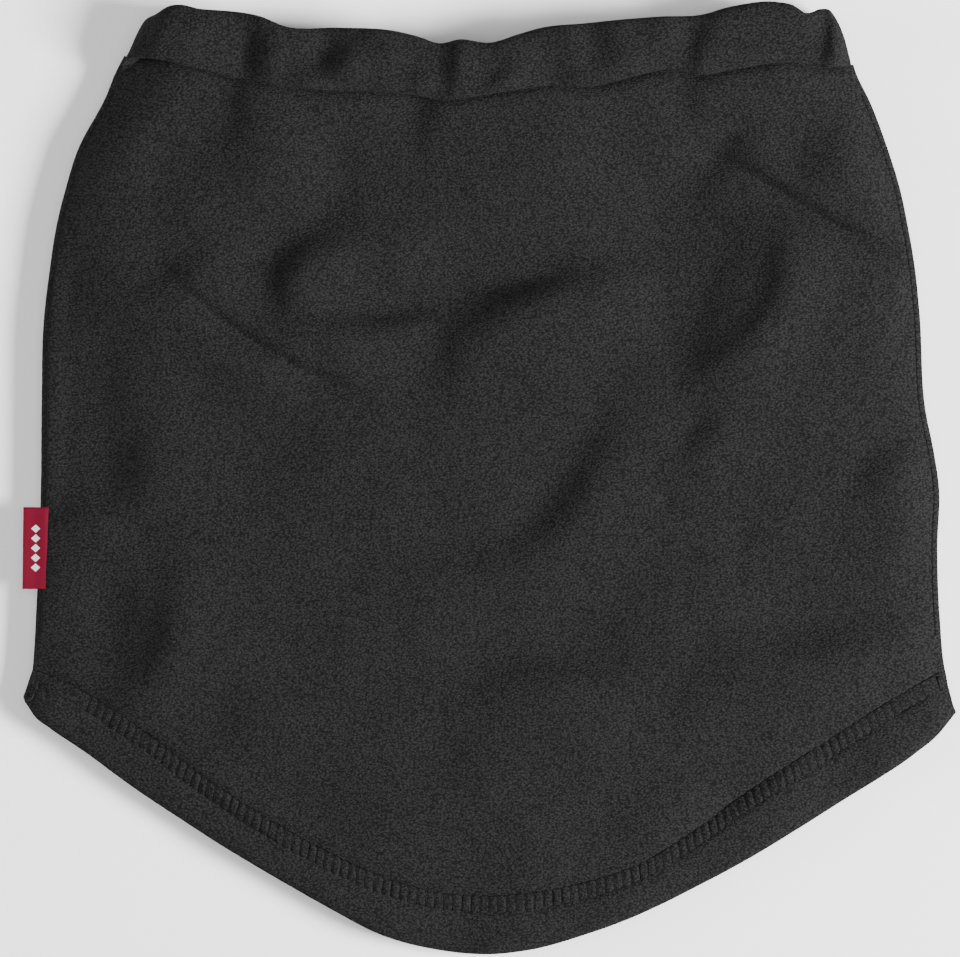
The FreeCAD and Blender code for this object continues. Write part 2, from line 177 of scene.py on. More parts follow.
# Hollows, where the cloth is dented or, at a depth below 0, plump: a path, a depth, and the widths of
# its left and right sides.
BODY_HOLLOWS = (
    (((-99, 206), (-93, 200), (-77, 187), (-61, 177), (-50, 171), (-37, 166)), 3.6, 1.7, 5.0),
    (((62, 240), (70, 236), (78, 232), (90, 225), (105, 216), (116, 211), (129, 207)), 4.0, 1.8, 4.5),
    (((64, 239), (72, 235), (80, 231)), 1.6, 5.0, 5.0),
    (((-56, 174), (-47, 170), (-39, 166)), 1.4, 4.0, 4.0),
    (((-28, 114), (-10, 112), (10, 112), (28, 116)), -1.6, 6.0, 7.0),
    (((-131, 128), (-120, 129), (-108, 129)), -1.3, 2.6, 2.6),
    (((50, 136), (55, 132)), 1.1, 3.0, 3.0),
    (((76, 129), (76, 118)), 0.8, 3.0, 3.0),
    (((-84, 232), (-66, 233), (-44, 231)), -1.6, 15.0, 12.0),
    (((-20, 232), (4, 234), (34, 236)), -1.6, 15.0, 15.0),
)
# Banks, where the cloth is high on the left of a path and low on its right: a path, how high and low,
# in units of BANK_GAIN mm, how softly it changes, and how far it takes to settle again.
BODY_BANKS = (
    # a small bump with a hollow round its upper left
    (((-36, 213), (-47, 212), (-56, 208), (-61, 201), (-60, 192), (-55, 186)), 3.6, 6.0, 14.0),
    (((-16, 190), (-32, 187), (-50, 188)), 3.4, 4.6, 10.0),
    # the wide sweep across the middle
    (((48, 206), (30, 201), (14, 196), (0, 190), (-9, 183), (-12, 173), (-13, 163)), 4.6, 9.5, 21.0),
    (((26, 200), (12, 197), (-2, 193)), 1.6, 4.0, 8.0),
    # the broad dark hollow on the right
    (((86, 220), (86, 206), (84, 195), (77, 185), (67, 177), (56, 166)), 2.6, 6.0, 14.0),
    (((80, 224), (74, 207), (67, 190), (54, 170)), 5.0, 14.0, 24.0),
    # the slanting one below them
    (((40, 163), (32, 148), (24, 135), (15, 125), (6, 120), (-8, 117)), 3.2, 7.5, 16.0),
    (((68, 162), (63, 153), (56, 146)), 2.0, 6.0, 10.0),
    # the left flank
    (((-112, 206), (-113, 190), (-111, 170), (-108, 150), (-106, 128)), 4.0, 14.0, 26.0),
    (((-101, 152), (-106, 141), (-112, 131)), 2.2, 9.0, 14.0),
    (((-95, 118), (-96, 102), (-98, 91), (-104, 82), (-118, 76)), 2.6, 6.0, 15.0),
    (((-108, 116), (-107, 98), (-112, 82)), 3.0, 10.0, 18.0),
    (((-70, 84), (-74, 70), (-78, 56)), 0.6, 8.0, 14.0),
    # the heads of the two long creases, and the slack below the left one
    (((-114, 194), (-92, 180), (-66, 165), (-42, 154)), 5.0, 14.0, 24.0),
    (((-82, 210), (-91, 203), (-101, 195)), 2.4, 7.5, 12.0),
    (((82, 246), (71, 236), (60, 226)), 3.0, 8.0, 13.0),
    (((110, 250), (100, 239), (92, 229)), 2.4, 11.0, 16.0),
    # the lower part
    (((54, 84), (28, 84), (2, 82), (-16, 78)), 4.2, 9.0, 20.0),
    (((130, 98), (108, 93), (86, 92), (62, 97)), 3.6, 10.0, 17.0),
    (((129, 154), (119, 146), (108, 137)), 2.4, 8.0, 12.0),
    # broad swells of the upper part
    (((34, 200), (34, 226), (32, 254)), 3.4, 24.0, 34.0),
    (((-52, 216), (-52, 232), (-54, 248)), 1.8, 10.0, 16.0),
    (((-104, 222), (-102, 238), (-98, 252)), 1.4, 8.0, 12.0),
    # gathers that run down from the casing
    (((-72, 266), (-73, 253), (-74, 240)), 2.6, 7.0, 12.0),
    (((-15, 260), (-18, 249), (-21, 238)), 1.4, 5.0, 9.0),
    (((62, 264), (62, 254), (60, 244)), 1.2, 5.0, 9.0),
    # where the hem's stitching pulls the cloth in
    (((102, 60), (84, 49), (66, 36), (46, 24)), 1.4, 3.2, 8.0),
    (((-92, 55), (-72, 39), (-54, 27)), 0.9, 2.4, 6.0),
)
CASING_HOLLOWS = (
    (((-46, 270), (-48, 264), (-54, 259)), 1.8, 4.0, 4.0),
    (((-71, 276), (-71, 268), (-72, 258)), 1.6, 4.0, 4.0),
    (((100, 284), (101, 273), (99, 262)), 2.0, 2.4, 2.4),
    (((-62, 278), (-60, 268), (-58, 258)), 1.2, 9.0, 9.0),
    (((-40, 272), (-34, 268), (-33, 260)), -1.0, 5.0, 5.0),
    (((46, 278), (52, 272), (55, 262)), -1.0, 5.0, 5.0),
    (((-2, 272), (0, 266), (2, 262)), -1.0, 4.0, 4.0),
)
CASING_BANKS = (
    (((-66, 282), (-68, 268), (-70, 253)), 3.0, 8.0, 13.0),
    (((-36, 272), (-46, 265), (-62, 259)), 2.4, 4.6, 9.0),
    (((-10, 276), (-11, 262), (-13, 249)), 1.7, 3.0, 8.0),
    (((-20, 266), (-24, 255)), 1.6, 4.0, 8.0),
    (((9, 266), (3, 260), (-5, 255)), 1.8, 4.0, 8.0),
    (((36, 266), (26, 260), (14, 256)), 1.6, 4.5, 9.0),
    (((64, 278), (62, 267), (60, 256)), 1.8, 3.6, 8.0),
    (((103, 288), (101, 273), (99, 258)), 1.5, 2.8, 7.0),
    (((-98, 282), (-101, 270), (-105, 258)), 1.6, 2.8, 8.0),
)
FOLD_STEPS = 40
BANK_GAIN = 1.42


def fold_path(path):
    """Points along a smooth path, and how far along it each is, from 0 to 1."""
    path = np.array(path, float)
    along = np.concatenate([[0], np.cumsum(np.hypot(*np.diff(path, axis=0).T))])
    share = np.linspace(0, 1, FOLD_STEPS)
    course = [smooth(np.column_stack([along / along[-1], path[:, axis]]))(share) for axis in (0, 1)]
    return np.column_stack(course), share


def near_path(s, h, path, reach):
    """Which places are near a path; their distance, their offset to its left, and a tapered share."""
    course, share = fold_path(path)
    low, high = course.min(0) - 3 * reach, course.max(0) + 3 * reach
    near = (s > low[0]) & (s < high[0]) & (h > low[1]) & (h < high[1])
    here = np.column_stack([s[near], h[near]])
    distance = np.full(len(here), np.inf)
    left, place = np.zeros(len(here)), np.zeros(len(here))
    for i in range(FOLD_STEPS - 1):
        run = course[i + 1] - course[i]
        t = np.clip(((here - course[i]) @ run) / (run @ run), 0, 1)
        off = here - course[i] - t[:, None] * run
        length = np.hypot(*off.T)
        closer = length < distance
        distance[closer] = length[closer]
        left[closer] = ((run[0] * off[:, 1] - run[1] * off[:, 0]) / math.hypot(*run))[closer]
        place[closer] = (share[i] + t * (share[i + 1] - share[i]))[closer]
    return near, distance, left, np.sin(math.pi * (0.04 + 0.92 * place)) ** 0.9


def hollow(s, h, path, depth, left_width, right_width):
    """The change of level that one dent makes at every place."""
    near, distance, left, taper = near_path(s, h, path, max(left_width, right_width))
    width = right_width + (left_width - right_width) * ramp(left, -0.5, 0.5)
    change = np.zeros(s.shape)
    change[near] = -depth * taper * np.exp(-((distance / width) ** 1.6))
    return change


def bank(s, h, path, rise, steep, reach):
    """The change of level that one bank makes at every place."""
    near, distance, left, taper = near_path(s, h, path, reach)
    change = np.zeros(s.shape)
    step = left / np.hypot(left, steep)
    change[near] = BANK_GAIN * rise * taper * step * np.exp(-((distance / reach) ** 1.6))
    return change


def folds(s, h, hollows, banks):
    """The change of level that a table of hollows and one of banks make together."""
    return sum(hollow(s, h, *row) for row in hollows) + sum(bank(s, h, *row) for row in banks)


RASTER_PITCH = 0.8
RASTER_LOW, RASTER_HIGH = np.array((-146.0, -8.0)), np.array((146.0, 290.0))


def rastered(function):
    """The same function of plan places, worked out once on a fine raster, softened and read from it."""
    count = ((RASTER_HIGH - RASTER_LOW) / RASTER_PITCH).astype(int)
    axes = [low + RASTER_PITCH * np.arange(n) for low, n in zip(RASTER_LOW, count)]
    table = function(*np.meshgrid(*axes, indexing="ij"))
    table[1:-1] = (table[:-2] + 2 * table[1:-1] + table[2:]) / 4
    table[:, 1:-1] = (table[:, :-2] + 2 * table[:, 1:-1] + table[:, 2:]) / 4

    def value(s, h):
        x = np.clip((s - RASTER_LOW[0]) / RASTER_PITCH, 0, count[0] - 1.001)
        y = np.clip((h - RASTER_LOW[1]) / RASTER_PITCH, 0, count[1] - 1.001)
        i, j = x.astype(int), y.astype(int)
        x, y = x - i, y - j
        near = table[i, j] * (1 - y) + table[i, j + 1] * y
        far = table[i + 1, j] * (1 - y) + table[i + 1, j + 1] * y
        return near * (1 - x) + far * x

    return value


# ---- the levels of the two layers -------------------------------------------------------------


def flank(s, h):
    """How far a place is inside the nearer side seam."""
    return np.minimum(s - left_of(h), right_of(h) - s)


def back_flank(s, h):
    """The same for the back, whose hem reaches a little further out at the left corner."""
    return np.minimum(s - left_of(h) + 1.1 * hill(h - 77, 7), right_of(h) - s)


def roll(inside, width):
    """0 at a side seam and 1 inside it, along a rounded shoulder."""
    return np.clip(1 - (1 - np.clip(inside / width, 0, 1)) ** 2, 0, 1) ** 0.8


def above_hem(s, h):
    """About how far a place is above the lower edge of the bib."""
    return h - np.interp(s, *np.array(HEM_EDGE).T)


@rastered
def front_relief(s, h):
    """Folds and soft unevenness of the front."""
    ripple = 0.55 * waves(s, h, 40, SEED + 1) * ramp(-above_hem(s, h), -60, -12)
    soft = 0.3 * waves(s, h, 36, SEED + 2) + 0.05 * waves(s, h, 12, SEED + 3)
    return folds(s, h, BODY_HOLLOWS, BODY_BANKS) + soft + ripple


@rastered
def casing_relief(s, h):
    """Puckers of the gathered casing."""
    wrinkles = 0.3 * waves(s, h, 14, SEED + 5) + 0.35 * waves(s, h * 0.2, 17, SEED + 6)
    return folds(s, h, CASING_HOLLOWS, CASING_BANKS) + wrinkles


def front_lift(s, h):
    """How far the front rises above the side seams, without its folds."""
    droop = HEM_DROOP * ramp(-above_hem(s, h), -46, -6)
    return FRONT_LEVEL - SEAM_LEVEL - droop


def front_level(s, h):
    """The middle of the front's cloth."""
    inside = flank(s, h)
    neck = NECK_RISE * ramp(h, 222, 264) * ramp(inside, 0, 24)
    base = SEAM_LEVEL + (front_lift(s, h) + neck) * roll(inside, SIDE_ROLL)
    return base + ramp(inside, 0.3, 8) * front_relief(s, h)


def back_level(s, h):
    """The middle of the back's cloth, which lies on the surface below."""
    inside = back_flank(s, h)
    slack = 0.5 + 0.5 * waves(s, h, 45, SEED + 4)
    rest = GROUND + 1.2 * ramp(h, 236, 262) + 0.5 * np.clip(slack, 0, 1) * ramp(inside, 4, 16)
    return SEAM_LEVEL - (SEAM_LEVEL - rest) * roll(inside, SIDE_ROLL - 2)


# ---- meshes -----------------------------------------------------------------------------------


def unit(vectors):
    return vectors / np.maximum(np.linalg.norm(vectors, axis=-1, keepdims=True), 1e-9)


def grid_normals(grid, closed=(False, False)):
    """Unit normals of a grid of points; closed says which of its directions join up."""
    runs = []
    for axis in (0, 1):
        if closed[axis]:
            runs.append(np.roll(grid, -1, axis) - np.roll(grid, 1, axis))
        else:
            runs.append(np.gradient(grid, axis=axis))
    return unit(np.cross(runs[1], runs[0]))


def add_object(name, points, faces, uv=None):
    mesh = bpy.data.meshes.new(name)
    mesh.from_pydata((np.asarray(points) * MM).tolist(), [], [list(map(int, f)) for f in faces])
    mesh.shade_smooth()
    if uv is not None:
        corners = np.empty(len(mesh.loops), np.int32)
        mesh.loops.foreach_get("vertex_index", corners)
        mesh.uv_layers.new(name="cloth").data.foreach_set("uv", uv[corners].ravel())
    made = bpy.data.objects.new(name, mesh)
    bpy.context.collection.objects.link(made)
    return made


def quads(index, closed=(False, False)):
    """The faces of a grid of point numbers."""
    if closed[0]:
        index = np.concatenate([index, index[:1]], 0)
    if closed[1]:
        index = np.concatenate([index, index[:, :1]], 1)
    return np.stack([index[:-1, :-1], index[:-1, 1:], index[1:, 1:], index[1:, :-1]], -1).reshape(-1, 4)


def rim_quads(upper, lower, closed):
    """Faces that join the borders of two layers."""
    borders = []
    if not closed[0]:
        borders += [(upper[0, ::-1], lower[0, ::-1]), (upper[-1], lower[-1])]
    if not closed[1]:
        borders += [(upper[:, 0], lower[:, 0]), (upper[::-1, -1], lower[::-1, -1])]
    return np.concatenate([np.stack([a[:-1], a[1:], b[1:], b[:-1]], -1) for a, b in borders])


def thick_sheet(name, middle, thickness=CLOTH, closed=(False, False), normals=None, uv=None):
    """A closed sheet of cloth of an even thickness about a grid of points."""
    normals = grid_normals(middle, closed) if normals is None else normals
    half = normals * thickness / 2
    count = middle[..., 0].size
    index = np.arange(count).reshape(middle.shape[:2])
    points = np.concatenate([(middle + half).reshape(-1, 3), (middle - half).reshape(-1, 3)])
    skin = quads(index, closed)
    faces = np.concatenate([skin, skin[:, ::-1] + count, rim_quads(index, index + count, closed)])
    if uv is not None:
        uv = np.concatenate([uv.reshape(-1, 2)] * 2)
    return add_object(name, points, faces, uv)


def at(s, h, level):
    """Points in the frame from places in the plan and levels."""
    return np.stack(np.broadcast_arrays(s, h + TIP_Y, level), -1).astype(float)


def edge_spaced(length, step, turns=14):
    """Distances along a width of cloth, close together where it rolls over at both ends."""
    roll_in = SIDE_ROLL * (1 - np.cos(np.linspace(0, math.pi / 2, turns)))
    middle = np.linspace(SIDE_ROLL, length - SIDE_ROLL, int((length - 2 * SIDE_ROLL) / step) + 1)
    return np.concatenate([roll_in, middle[1:-1], (length - roll_in)[::-1]])


# ---- the panels -------------------------------------------------------------------------------


def resample(points, count=None, places=None):
    """Points evenly along a line, or at given shares of its length. Returns its length too."""
    run = np.concatenate([[0], np.cumsum(np.hypot(*np.diff(points, axis=0).T))])
    shares = np.linspace(0, 1, count) if places is None else places
    found = [np.interp(shares * run[-1], run, points[:, axis]) for axis in (0, 1)]
    return np.column_stack(found), run[-1]


def drawn(curve, count=3000):
    """A densely drawn line along a table of plan points."""
    s = np.linspace(curve[0][0], curve[-1][0], count)
    return np.column_stack([s, smooth(curve)(s)])


def between_sides(line):
    """The part of a line that lies between the side seams, with its ends on them."""
    line = line[flank(*line.T) > 0.2]
    (_, first), (_, last) = line[0], line[-1]
    return np.concatenate([[(left_of(first), first)], line, [(right_of(last), last)]])


def stitch_upper():
    """The hem's upper edge, at the top of its cover stitch."""
    line, _ = resample(drawn(HEM_STITCH), 1200)
    tangent = unit(np.gradient(line, axis=0))
    return between_sides(line + BAND / 2 * np.column_stack([-tangent[:, 1], tangent[:, 0]]))


# about how wide a panel is, and how far its cloth runs up under the casing
PANEL_WIDTH = 270
TUCK = 2.0


def body_plan(columns, rows):
    """The plan of a panel between its hem's stitching and the casing, as (s, h) grids."""
    width = edge_spaced(PANEL_WIDTH, PANEL_WIDTH / columns)
    u = width / width[-1]
    bottom, _ = resample(stitch_upper(), places=u)
    seam = drawn(CASING_SEAM)
    under = TUCK * ramp(flank(*seam.T), 1, 12)
    top, _ = resample(between_sides(seam + np.column_stack([0 * under, under])), places=u)
    v = np.linspace(0, 1, rows)[:, None]
    left_h = bottom[0, 1] + v * (top[0, 1] - bottom[0, 1])
    right_h = bottom[-1, 1] + v * (top[-1, 1] - bottom[-1, 1])
    left = np.concatenate([left_of(left_h), left_h], 1)
    right = np.concatenate([right_of(right_h), right_h], 1)
    u, v = u[None, :, None], v[:, :, None]
    sides = (1 - u) * left[:, None] + u * right[:, None]
    ends = (1 - v) * bottom[None] + v * top[None]
    corners = (1 - u) * ((1 - v) * left[0] + v * left[-1]) + u * ((1 - v) * right[0] + v * right[-1])
    plan = sides + ends - corners
    return plan[..., 0], plan[..., 1]


def panel(name, level, columns, rows, outward):
    """A panel's cloth. It dips into the groove of the casing seam and at the needle line."""
    s, h = body_plan(columns, rows)
    groove = seam_groove(h - seam_h(s))
    needle = 0.9 * hill(h - np.interp(s, *stitch_upper().T), 1.2)
    fade = ramp(flank(s, h), 0, 4)
    return thick_sheet(name, at(s, h, level(s, h) - outward * fade * (groove + needle)))


def level_normals(level, s, h, outward):
    """Outward unit normals of a layer from the slope of its level."""
    step = 0.4
    rise_s = (level(s + step, h) - level(s - step, h)) / (2 * step)
    rise_h = (level(s, h + step) - level(s, h - step)) / (2 * step)
    return unit(outward * np.stack([-rise_s, -rise_h, np.ones_like(rise_s)], -1))


def stitch_relief(across, along):
    """How the cover stitch shapes the cloth: two needle lines, and a puff between rungs."""
    phase = np.abs((along / STITCH_PITCH + 0.5) % 1 - 0.5) * STITCH_PITCH
    band = ramp(across, -0.1, 0.9) * ramp(-across, -BAND - 0.5, -BAND + 0.6)
    needles = 0.85 * hill(across - FIRST_NEEDLE, 0.9) + 0.7 * hill(across - BAND, 0.9)
    uneven = 0.58 + 0.26 * np.sin(along * 0.37) * np.sin(along * 0.11 + 1)
    puffs = band * (0.36 - 0.72 * hill(phase, 0.65))
    return uneven * (puffs - needles * (0.7 + 0.3 * hill(phase, 0.8)))


def hem_lines(edge, step):
    """Matching places on the hem's upper edge and on its folded edge, and how far along they are."""
    _, length = resample(stitch_upper(), 2)
    along = edge_spaced(length, step, 20)
    upper, _ = resample(stitch_upper(), places=along / length)
    lower, _ = resample(drawn(edge), places=along / length)
    return upper, lower, along


# where the turned-up cloth ends inside, as a share of the hem's width below its upper edge
CUT_EDGE = 0.12


def hem_grid(level, edge, step, outward, relief):
    """A turned-up hem: down its outer face, round the fold and up inside past the stitching."""
    upper, lower, along = hem_lines(edge, step)
    width = np.hypot(*(lower - upper).T)
    flat = width - FOLD_RADIUS
    turn = np.radians(np.linspace(15, 165, 11))[:, None]
    outer = np.linspace(0, 1, 34)[:, None] * flat
    inner = np.linspace(1, CUT_EDGE, 14)[:, None] * flat
    across = np.concatenate([outer, flat + FOLD_RADIUS * np.sin(turn), inner])
    under = FOLD_RADIUS * (1 - np.cos(turn)) + 0 * flat
    drop = np.concatenate([0 * outer, under, 0 * inner + 2 * FOLD_RADIUS])
    share = (across / width)[..., None]
    plan = upper[None] * (1 - share) + lower[None] * share
    s, h = plan[..., 0], plan[..., 1]
    puff = 0.6 * np.sin(math.pi * np.clip((across - BAND) / (width - BAND), 0, 1)) ** 0.7
    shape = relief * (stitch_relief(across, along[None]) + puff)
    shape[len(outer):] = 0
    shape *= ramp(np.minimum(along, along[-1] - along), 0, 5)[None]
    rise = (shape - drop)[..., None] * level_normals(level, s, h, outward)
    return at(s, h, level(s, h)) + rise


# ---- threads ----------------------------------------------------------------------------------


def tubes(paths, radius, sides=6):
    """Points and faces of round threads along several paths of points."""
    points, faces, start = [], [], 0
    ring = np.linspace(0, 2 * math.pi, sides, endpoint=False)
    for path in paths:
        tangent = unit(np.gradient(path, axis=0))
        helper = np.where(np.abs(tangent[:, 2:]) > 0.9, (1.0, 0, 0), (0, 0, 1.0))
        side = unit(np.cross(tangent, helper))
        top = np.cross(side, tangent)
        turn = side[:, None] * np.cos(ring)[None, :, None] + top[:, None] * np.sin(ring)[None, :, None]
        points.append((path[:, None] + radius * turn).reshape(-1, 3))
        index = np.arange(len(path) * sides).reshape(len(path), sides) + start
        faces.append(quads(index, (False, True))[:, ::-1].tolist())
        faces.append([index[0].tolist(), index[-1, ::-1].tolist()])
        start += len(path) * sides
    return np.concatenate(points), [face for group in faces for face in group]


# the cover stitch's thread, and how much deeper it lies near the side seams
THREAD_RADIUS = 0.27
BURIED_ENDS = 0.2


def cover_stitch(name, level, edge, outward):
    """Needle threads and rungs of the hem's cover stitch, sunk into the nap, most of all at its ends."""
    upper, lower, along = hem_lines(edge, 0.6)
    inward = unit(upper - lower)

    def on_face(across, places, height):
        """Points on the hem's outer face at distances below its upper edge."""
        line = np.column_stack([np.interp(places, along, upper[:, i]) for i in (0, 1)])
        up = np.column_stack([np.interp(places, along, inward[:, i]) for i in (0, 1)])
        s, h = (line - up * across[:, None]).T
        to_end = np.minimum(places, along[-1] - places)
        sunk = stitch_relief(across, places) * ramp(to_end, 0, 5) if outward > 0 else 0
        offset = (HALF + height + sunk - BURIED_ENDS * ramp(-to_end, -9, -3))[:, None]
        return at(s, h, level(s, h)) + offset * level_normals(level, s, h, outward)

    ends = 2.0
    run = np.arange(ends, along[-1] - ends, 0.45)
    beat = -0.2 + 0.12 * np.cos(run * 2 * math.pi / STITCH_PITCH)
    paths = [on_face(np.full_like(run, across), run, beat) for across in (FIRST_NEEDLE, BAND)]
    t = np.linspace(0, 1, 7)
    for place in np.arange(STITCH_PITCH, along[-1] - ends, STITCH_PITCH):
        across = FIRST_NEEDLE + t * (BAND - FIRST_NEEDLE)
        paths.append(on_face(across, place + 0.5 * (t - 0.5), -0.08 + 0 * t))
    return add_object(name, *tubes(paths, THREAD_RADIUS))


# ---- the casing -------------------------------------------------------------------------------

# half the casing's depth, how square its cross-section is, and how it turns at the side seams
CASING_HALF = 3.2
ROUNDNESS = 2.7
TURN_RADIUS = 6.0
# how much lower its back's top lies all along, and its back's foot and top at the left end
BACK_DROP = 1.2
LOBE_FOOT, LOBE_TOP = 4.6, 1.5
RING_SIDE = RING_HIGH[0]
UPPER_MIDDLE = RING_HIGH[2] - 0.3 - CASING_HALF
LOWER_MIDDLE = RING_LOW[2] + CASING_HALF


def ring_course(step):
    """The casing's middle line seen along Y: x, level, outward normal and the share that is front."""
    straight = RING_SIDE - TURN_RADIUS - CASING_HALF
    x = np.linspace(straight, -straight, int(2 * straight / step))
    angle = np.linspace(90, 270, 26)[1:-1]
    turn = np.radians(angle)
    half_gap = (UPPER_MIDDLE - LOWER_MIDDLE) / 2
    middle = (UPPER_MIDDLE + LOWER_MIDDLE) / 2
    left_x, left_z = -straight + TURN_RADIUS * np.cos(turn), middle + half_gap * np.sin(turn)
    across = np.concatenate([x, left_x, -x, -left_x])
    level = np.concatenate([x * 0 + UPPER_MIDDLE, left_z, x * 0 + LOWER_MIDDLE, 2 * middle - left_z])
    run = np.column_stack([across, level])
    tangent = unit(np.roll(run, -1, 0) - np.roll(run, 1, 0))
    normal = np.column_stack([tangent[:, 1], -tangent[:, 0]])
    normal *= np.sign((normal * (run - (0, middle))).sum(1))[:, None]
    return across, level, normal, ramp(level, middle - 2, middle + 4)


def ring_side(x, h):
    """Where the ring's middle line is at a height, so that its ends follow the outline."""
    share = x / (RING_SIDE - CASING_HALF)
    return np.where(share > 0, share * (right_of(h) - CASING_HALF), -share * (left_of(h) + CASING_HALF))


def ring_edges(x, front):
    """The casing's foot and top, found where the ring is at those heights."""
    low, high = seam_h(x), neck_h(x)
    for _ in range(4):
        low, high = seam_h(ring_side(x, low)), neck_h(ring_side(x, high))
    lobe = ramp(-x, 92, 102)
    return low - (1 - front) * LOBE_FOOT * lobe, high - (1 - front) * (BACK_DROP + LOBE_TOP * lobe)


def section_depth(up):
    """Half the casing's depth at a share of its half height. It is slimmer towards its foot."""
    return np.clip(1 - np.abs(up) ** ROUNDNESS, 0, 1) ** (1 / ROUNDNESS) * (0.93 + 0.07 * up)


def section(sides=48):
    """Points round the casing's cross-section, of half height and half depth 1."""
    angle = np.linspace(0, 2 * math.pi, sides, endpoint=False)
    up = np.sign(np.sin(angle)) * np.abs(np.sin(angle)) ** (2 / ROUNDNESS)
    return up, np.sign(np.cos(angle)) * section_depth(up)


def ring_grid(half_depth, trim, step):
    """The casing's skin as a grid: along the ring, and round its section."""
    x, level, normal, front = ring_course(step)
    low, high = ring_edges(x, front)
    middle, half = (high + low) / 2, (high - low) / 2
    up, out = section()
    up = up[None] * (half - trim)[:, None] / half[:, None]
    h = middle[:, None] + half[:, None] * up
    # where the section is slimmer, it moves outwards, so that its skin stays on the outline
    kept_out = CASING_HALF * (1 - section_depth(up))
    s = ring_side(x[:, None], h) + normal[:, :1] * (half_depth * out[None] + kept_out)
    z = level[:, None] + normal[:, 1:] * half_depth * out[None]
    z = z + front[:, None] * ramp(RING_SIDE - np.abs(s), 1, 8) * casing_relief(s, h)
    return at(s, h, np.clip(z, 0.02, None))


# about how far apart the casing's sections are along its front and back
RING_STEP = 0.9


def make_casing(cloth):
    """One closed tunnel of cloth round the neck edge, gathered by the elastic in it."""
    outer = ring_grid(CASING_HALF, 0.0, RING_STEP)
    inner = ring_grid(CASING_HALF - CLOTH, CLOTH, RING_STEP)
    count = outer[..., 0].size
    index = np.arange(count).reshape(outer.shape[:2])
    skin = quads(index, (True, True))
    points = np.concatenate([outer.reshape(-1, 3), inner.reshape(-1, 3)])
    faces = np.concatenate([skin, skin[:, ::-1] + count])
    casing = add_object("neck_casing", points, faces)
    return finish(casing, cloth, "fleece", "front_casing", "back_casing")


# the elastic, and from where to where its ends lie over each other
ELASTIC_WIDTH = 10.0
ELASTIC_THICK = 1.1
OVERLAP = (55.0, 69.0)


def make_elastic(ribbon):
    """The flat elastic in the tunnel, a closed ring whose ends are sewn over each other."""
    x, level, normal, front = ring_course(RING_STEP)
    low, high = ring_edges(x, front)
    columns = 13
    across = np.linspace(-ELASTIC_WIDTH / 2, ELASTIC_WIDTH / 2, columns)
    bunched = np.minimum(1, ((high - low) / 2 - CLOTH - 1.0) / (ELASTIC_WIDTH / 2))
    h = (low + high)[:, None] / 2 + bunched[:, None] * across[None]
    side = ring_side(x[:, None], h)
    z = level[:, None] + front[:, None] * ramp(RING_SIDE - np.abs(side), 1, 8) * casing_relief(side, h)
    middle = at(side, h, z)
    doubled = ramp(x, OVERLAP[0] - 0.5, OVERLAP[0]) * ramp(-x, -OVERLAP[1] - 0.5, -OVERLAP[1]) * front
    thickness = ELASTIC_THICK * (1 + 0.5 * doubled)
    normals = np.stack([normal[:, 0], 0 * x, normal[:, 1]], -1)[:, None]
    normals = normals * (thickness / ELASTIC_THICK)[:, None, None] + 0 * middle
    centre = np.column_stack([side[:, columns // 2], z[:, columns // 2]])
    run = np.concatenate([[0], np.cumsum(np.hypot(*np.diff(centre, axis=0).T))])
    uv = np.stack(np.broadcast_arrays(across[None], run[:, None]), -1)
    band = thick_sheet("elastic_ribbon", middle, ELASTIC_THICK, (True, False), normals, uv)
    return finish(band, ribbon, "elastic", "elastic_band", "elastic_overlap")


# the casing's lockstitches: their length, pitch and radius, and how far below its foot they run
LOCKSTITCH, LOCKSTITCH_PITCH, LOCKSTITCH_RADIUS = 2.3, 3.0, 0.2
BELOW_CASING = 0.75


def seam_groove(above):
    """How deep the casing seam pulls the cloth in, at a distance above the seam."""
    return GROOVE * ramp(above, -2.6, 0.8)


def casing_stitch(name, level, outward, node, thread):
    """The row of lockstitches in the groove below the casing."""
    stitches, ends = [], 8.0
    line, whole = resample(drawn(CASING_SEAM) - np.array([0, BELOW_CASING]), 2000)
    places = np.linspace(0, whole, 2000)
    t = np.linspace(0, 1, 6)
    dip = 0.35 * (2 * t - 1) ** 4
    for start in np.arange(ends, whole - ends, LOCKSTITCH_PITCH):
        s, h = (np.interp(start + LOCKSTITCH * t, places, line[:, axis]) for axis in (0, 1))
        z = level(s, h) + outward * (HALF - seam_groove(-BELOW_CASING) + 0.05 - dip)
        stitches.append(at(s, h, z))
    return finish(add_object(name, *tubes(stitches, LOCKSTITCH_RADIUS)), thread, "thread", node)


# the side seams' ladder: how far in from the edge its middle is, how far it stands out, how far
# round the edge it reaches, where it starts and ends, and its thread
SEAM_INSET, SEAM_OUT = 1.4, 0.2
SEAM_ANGLE = math.radians(72)
SEAM_START, SEAM_END = 94.0, 256.0
SIDE_THREAD_RADIUS = 0.26


def side_point(side, h, angle, height):
    """A point on the cloth round a side edge: angle is 0 at the seam, positive towards the front."""
    edge = left_of(h) if side < 0 else right_of(h)
    inner = edge - side * SEAM_INSET
    face = np.where(angle > 0, front_level(inner, h) + HALF, back_level(inner, h) - HALF)
    reach = SEAM_INSET + SEAM_OUT + height
    s = inner + side * reach * np.cos(angle)
    return at(s, h, SEAM_LEVEL + (np.abs(face - SEAM_LEVEL) + height) * np.sin(angle))


